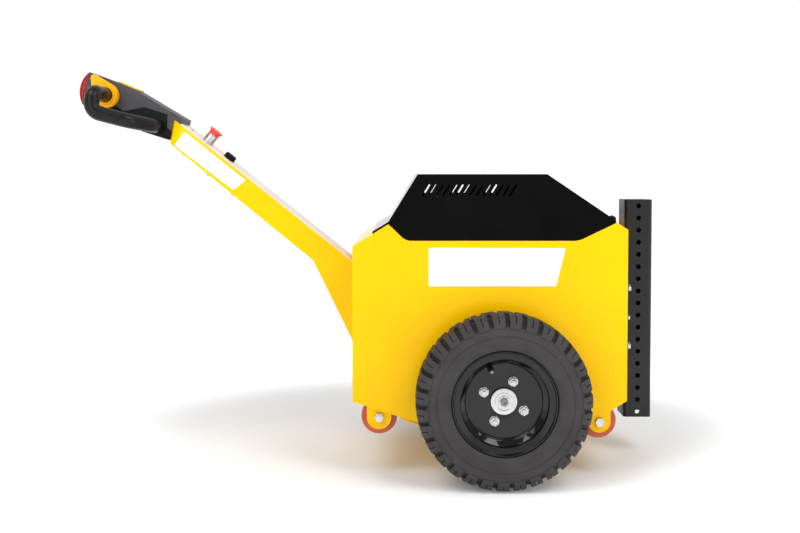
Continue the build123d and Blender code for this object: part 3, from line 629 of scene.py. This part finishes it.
# mast bolts through the bracket's plate: washer, head, shank and nut as shares of the size across flats
mastBolts = {
    "heights": (428, 354, 282), "across": (17, 13, 17), "reach": 58.0, "shankStart": 301, "plateBack": 327,
    "plateFront": 337, "washer": 0.62, "washerHeight": 1.8, "washerSegments": 32, "head": 0.4, "shank": 0.33,
    "shankSegments": 24, "nut": 0.5, "chamfer": 1.0, "fineChamfer": 0.4,
}


def makeMastBolts(hand, way):
    m = mastBolts
    ahead, behind = (1, 0, 0), (-1, 0, 0)
    shankLength = m["plateBack"] - m["shankStart"]
    bm = bmesh.new()
    for height, across in zip(m["heights"], m["across"]):
        start, back, front = (
            spot(m[mark], way * m["reach"], height) for mark in ("shankStart", "plateBack", "plateFront")
        )
        head = spot(m["plateFront"] + m["washerHeight"], way * m["reach"], height)
        washerRadius, shankRadius = across * m["washer"], across * m["shank"]
        disc(bm, front, ahead, washerRadius, m["washerHeight"], m["fineChamfer"], m["washerSegments"])
        hexBlock(bm, head, ahead, across, across * m["head"], m["chamfer"])
        disc(bm, start, ahead, shankRadius, shankLength, m["fineChamfer"], m["shankSegments"])
        hexBlock(bm, back, behind, across, across * m["nut"], m["chamfer"])
    finishPiece(bm, "mast_bolts_" + hand, "zinc", "chassis")


for hand, way in sides.items():
    makeMastBolts(hand, way)

# screws on the cover's front slope: radius, height, chamfer and segments
coverScrews = {
    "slopeTop": (111, 0, 715.5), "slopeFoot": (275, 0, 605.1), "alongSlope": 0.955, "reach": 184.0,
    "screw": (8.5, 7.0, 5.5, 32),
}
slopeTop, slopeFoot = spot(*coverScrews["slopeTop"]), spot(*coverScrews["slopeFoot"])
slopeOut = Vector((slopeTop.z - slopeFoot.z, 0, slopeFoot.x - slopeTop.x)).normalized()
bm = bmesh.new()
for way in sides.values():
    place = slopeTop.lerp(slopeFoot, coverScrews["alongSlope"])
    place += Vector((0, way * coverScrews["reach"] / 1000, 0))
    disc(bm, place, slopeOut, *coverScrews["screw"])
finishPiece(bm, "cover_screws", "blackShell", "chassis")

# small screws under the arm and one on its top plate: radius, height, chamfer and segments
underArm, downArm = Vector((-0.637, 0, -0.771)), Vector((0.771, 0, -0.637))
armScrews = {"first": (-783, 765.5), "pitch": 79.0, "count": 3, "reach": 40.0, "screw": (4.2, 3.6, 1.6, 20)}
bm = bmesh.new()
for way in sides.values():
    for step in range(armScrews["count"]):
        x, z = armScrews["first"]
        place = spot(x, way * armScrews["reach"], z) + downArm * armScrews["pitch"] * step / 1000
        disc(bm, place, underArm, *armScrews["screw"])
finishPiece(bm, "arm_screws", "zinc", "chassis")

plateScrew = {"place": (-770, 0, 828.5), "screw": (3.6, 1.8, 0.8, 20)}
bm = bmesh.new()
disc(bm, spot(*plateScrew["place"]), -underArm, *plateScrew["screw"])
finishPiece(bm, "plate_screw", "darkSteel", "chassis")
print("fasteners placed")

# stop button: a waisted neck, a thin flared rim and a shallow dome; radii and heights above the collar
stopButton = {
    "neck": [(0, 0), (14.4, 0), (14.4, 4.6), (15.2, 7.8), (17.0, 10.3), (19.4, 12.0)],
    "dome": [(19.9, 12.8), (19.6, 13.9), (15.5, 15.1), (8.5, 15.8), (0, 16.0)],
    "steps": 64,
}


def makeStopButton():
    points = [vert.co for vert in nodes["estop_button"].data.vertices]
    alongs = [point.dot(downArm) for point in points]
    lowest = min(point.dot(-underArm) for point in points)
    foot = downArm * (min(alongs) + max(alongs)) / 2 - underArm * lowest
    section = stopButton["neck"] + stopButton["dome"]
    outline = [foot + downArm * radius / 1000 - underArm * height / 1000 for radius, height in section]
    bm = bmesh.new()
    lathe(bm, outline, foot, underArm, stopButton["steps"])
    finishPiece(bm, "stop_button_head", "stopRed", "chassis", ["estop_button"], crease=50)


makeStopButton()
print("stop button turned")

# floor, light and camera
studio = {
    "floorSize": 400.0, "floorColour": (0.815, 0.83, 0.85, 1), "floorRough": 0.7, "floorSpecular": 0.1,
    "glow": (0.0, 0.55), "glowMiddle": (-150, 200), "glowStretch": (0.8, 1.3), "glowReach": (0.52, 1.0),
    "front": 0.31, "back": 1.06, "frontToBack": (-0.4, 0.5), "hazeRise": (0.13, 0.19),
}
lights = {  # place and target in millimetres, size in metres, power in watts
    "keyLeft": ((-1500, -1400, 2900), (-100, 0, 400), (1.2, 1.6), 37.0),
    "keyRight": ((1300, -1400, 2900), (-100, 0, 400), (1.2, 1.6), 37.0),
    "fillLight": ((-1800, -2600, 1500), (-200, 0, 400), (1.4, 1.4), 18.0),
    "rimLight": ((1900, -1700, 900), (100, -200, 300), (0.5, 1.6), 12.0),
}


def floorFinish():  # white that glows outside an oval round the tractor, so that only its shadow shows
    mat, tree, shader = newFinish("floorWhite")
    shader.inputs["Base Color"].default_value = studio["floorColour"]
    shader.inputs["Roughness"].default_value = studio["floorRough"]
    shader.inputs["Specular IOR Level"].default_value = studio["floorSpecular"]
    shader.inputs["Emission Color"].default_value = (1, 1, 1, 1)
    coord = tree.nodes.new("ShaderNodeTexCoord")
    stretch = Vector((*studio["glowStretch"], 1))
    oval = tree.nodes.new("ShaderNodeMapping")
    oval.inputs["Location"].default_value = -spot(*studio["glowMiddle"], 0) * stretch
    oval.inputs["Scale"].default_value = stretch
    wire(tree, coord, "Object", oval, "Vector")
    ring = tree.nodes.new("ShaderNodeVectorMath")
    ring.operation = "LENGTH"
    wire(tree, oval, "Vector", ring, 0)
    glow = mapped(tree, ring, "Value", studio["glowReach"], studio["glow"])
    glow.interpolation_type = "SMOOTHSTEP"
    wire(tree, glow, "Result", shader, "Emission Strength")
    return mat


def makeStage():
    bm = bmesh.new()
    bmesh.ops.create_grid(bm, x_segments=1, y_segments=1, size=studio["floorSize"] / 2)
    bmesh.ops.translate(bm, verts=bm.verts, vec=spot(0, 0, 0))
    mesh = bpy.data.meshes.new("studioFloor")
    bm.to_mesh(mesh)
    bm.free()
    mesh.materials.append(floorFinish())
    floor = bpy.data.objects.new("studioFloor", mesh)
    bpy.context.scene.collection.objects.link(floor)


def makeWorld():
    world = bpy.data.worlds.new("studioWorld")
    bpy.context.scene.world = world
    world.use_nodes = True
    tree = world.node_tree
    coord = tree.nodes.new("ShaderNodeTexCoord")
    split = tree.nodes.new("ShaderNodeSeparateXYZ")
    wire(tree, coord, "Generated", split, "Vector")
    front, back = studio["front"], studio["back"]
    ramp = mapped(tree, split, "Y", studio["frontToBack"], (front, back))
    haze = mapped(tree, split, "Z", studio["hazeRise"], (back, front))  # white near the horizon all round
    brighter = tree.nodes.new("ShaderNodeMath")
    brighter.operation = "MAXIMUM"
    wire(tree, ramp, "Result", brighter, 0)
    wire(tree, haze, "Result", brighter, 1)
    wire(tree, brighter, "Value", tree.nodes["Background"], "Strength")
    tree.nodes["Background"].inputs["Color"].default_value = (1, 1, 1, 1)


def softBox(name, place, target, size, power):
    data = bpy.data.lights.new(name, "AREA")
    data.shape = "RECTANGLE"
    data.size, data.size_y = size
    data.energy = power
    lamp = bpy.data.objects.new(name, data)
    bpy.context.scene.collection.objects.link(lamp)
    lamp.location = spot(*place)
    lamp.rotation_euler = (spot(*target) - spot(*place)).to_track_quat("-Z", "Y").to_euler()


makeStage()
makeWorld()
for lightName, light in lights.items():
    softBox(lightName, *light)

lens = {"place": (-235.5, -2191, 713.5), "sensor": 36.0, "focal": 38.187, "pitch": 1.7, "shiftY": -0.0829}
camData = bpy.data.cameras.new("sideCamera")
camData.sensor_width = lens["sensor"]
camData.lens = lens["focal"]
camData.shift_y = lens["shiftY"]
cam = bpy.data.objects.new("sideCamera", camData)
bpy.context.scene.collection.objects.link(cam)
cam.location = spot(*lens["place"])
cam.rotation_euler = (math.radians(90 - lens["pitch"]), 0, 0)
bpy.context.scene.camera = cam
bpy.context.scene.view_settings.view_transform = "Standard"
print("stage, lights and camera set")
